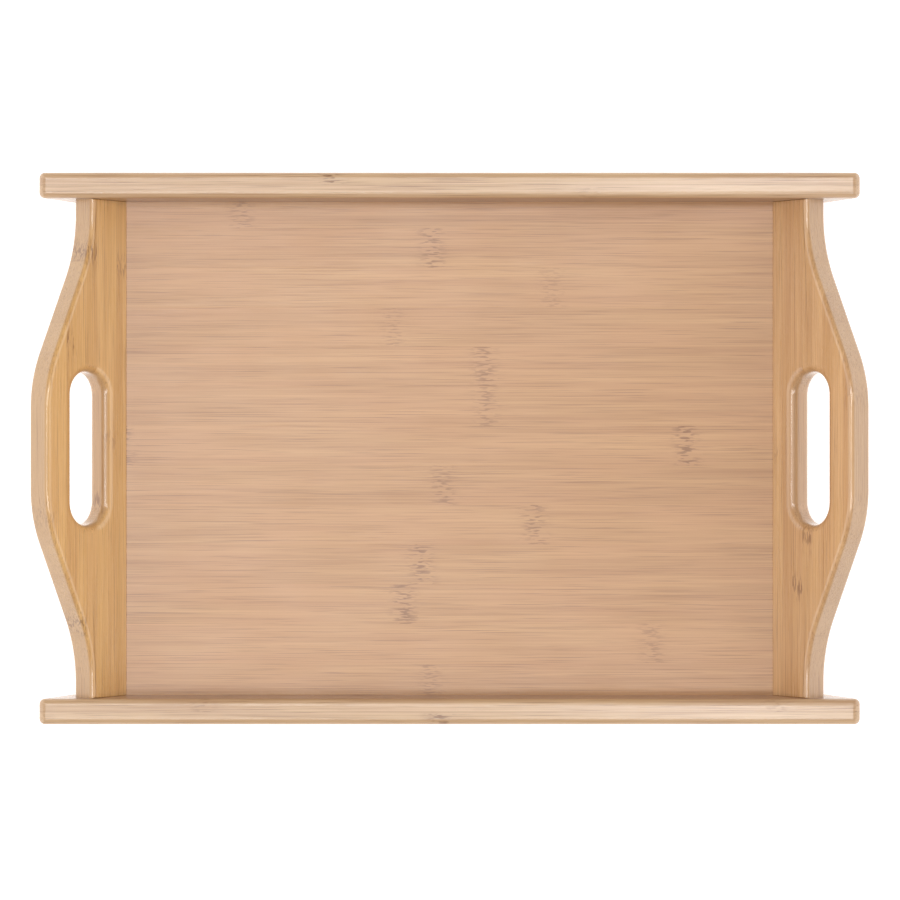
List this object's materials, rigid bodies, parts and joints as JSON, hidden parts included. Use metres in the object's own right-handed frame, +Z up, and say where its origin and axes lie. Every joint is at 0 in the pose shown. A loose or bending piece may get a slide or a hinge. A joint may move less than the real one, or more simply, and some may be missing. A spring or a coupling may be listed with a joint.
{
  "type": "serving tray",
  "caption": "Rectangular bamboo serving tray with low side rails and two outward-leaning end boards, each with a raised crest and a hand slot.",
  "frame": {"origin": "on the table under the middle of the tray, the centre of the bottom of its box", "axes": "+X along the side rails towards the right handle board, +Y across to the back rail, +Z up"},
  "size_m": [0.4364, 0.289, 0.0533],
  "materials": {
    "bamboo_panel": "satin",
    "bamboo_rail": "gloss",
    "bamboo_board": "satin",
    "dowel_wood": "matt"
  },
  "bodies": {
    "root": {"floor_panel": "bamboo_panel", "rail_front": "bamboo_rail", "rail_back": "bamboo_rail", "handle_board_left": "bamboo_board", "handle_board_right": "bamboo_board", "dowels_front_left": "dowel_wood", "dowels_front_right": "dowel_wood", "dowels_back_left": "dowel_wood", "dowels_back_right": "dowel_wood"}
  },
  "joints": []
}
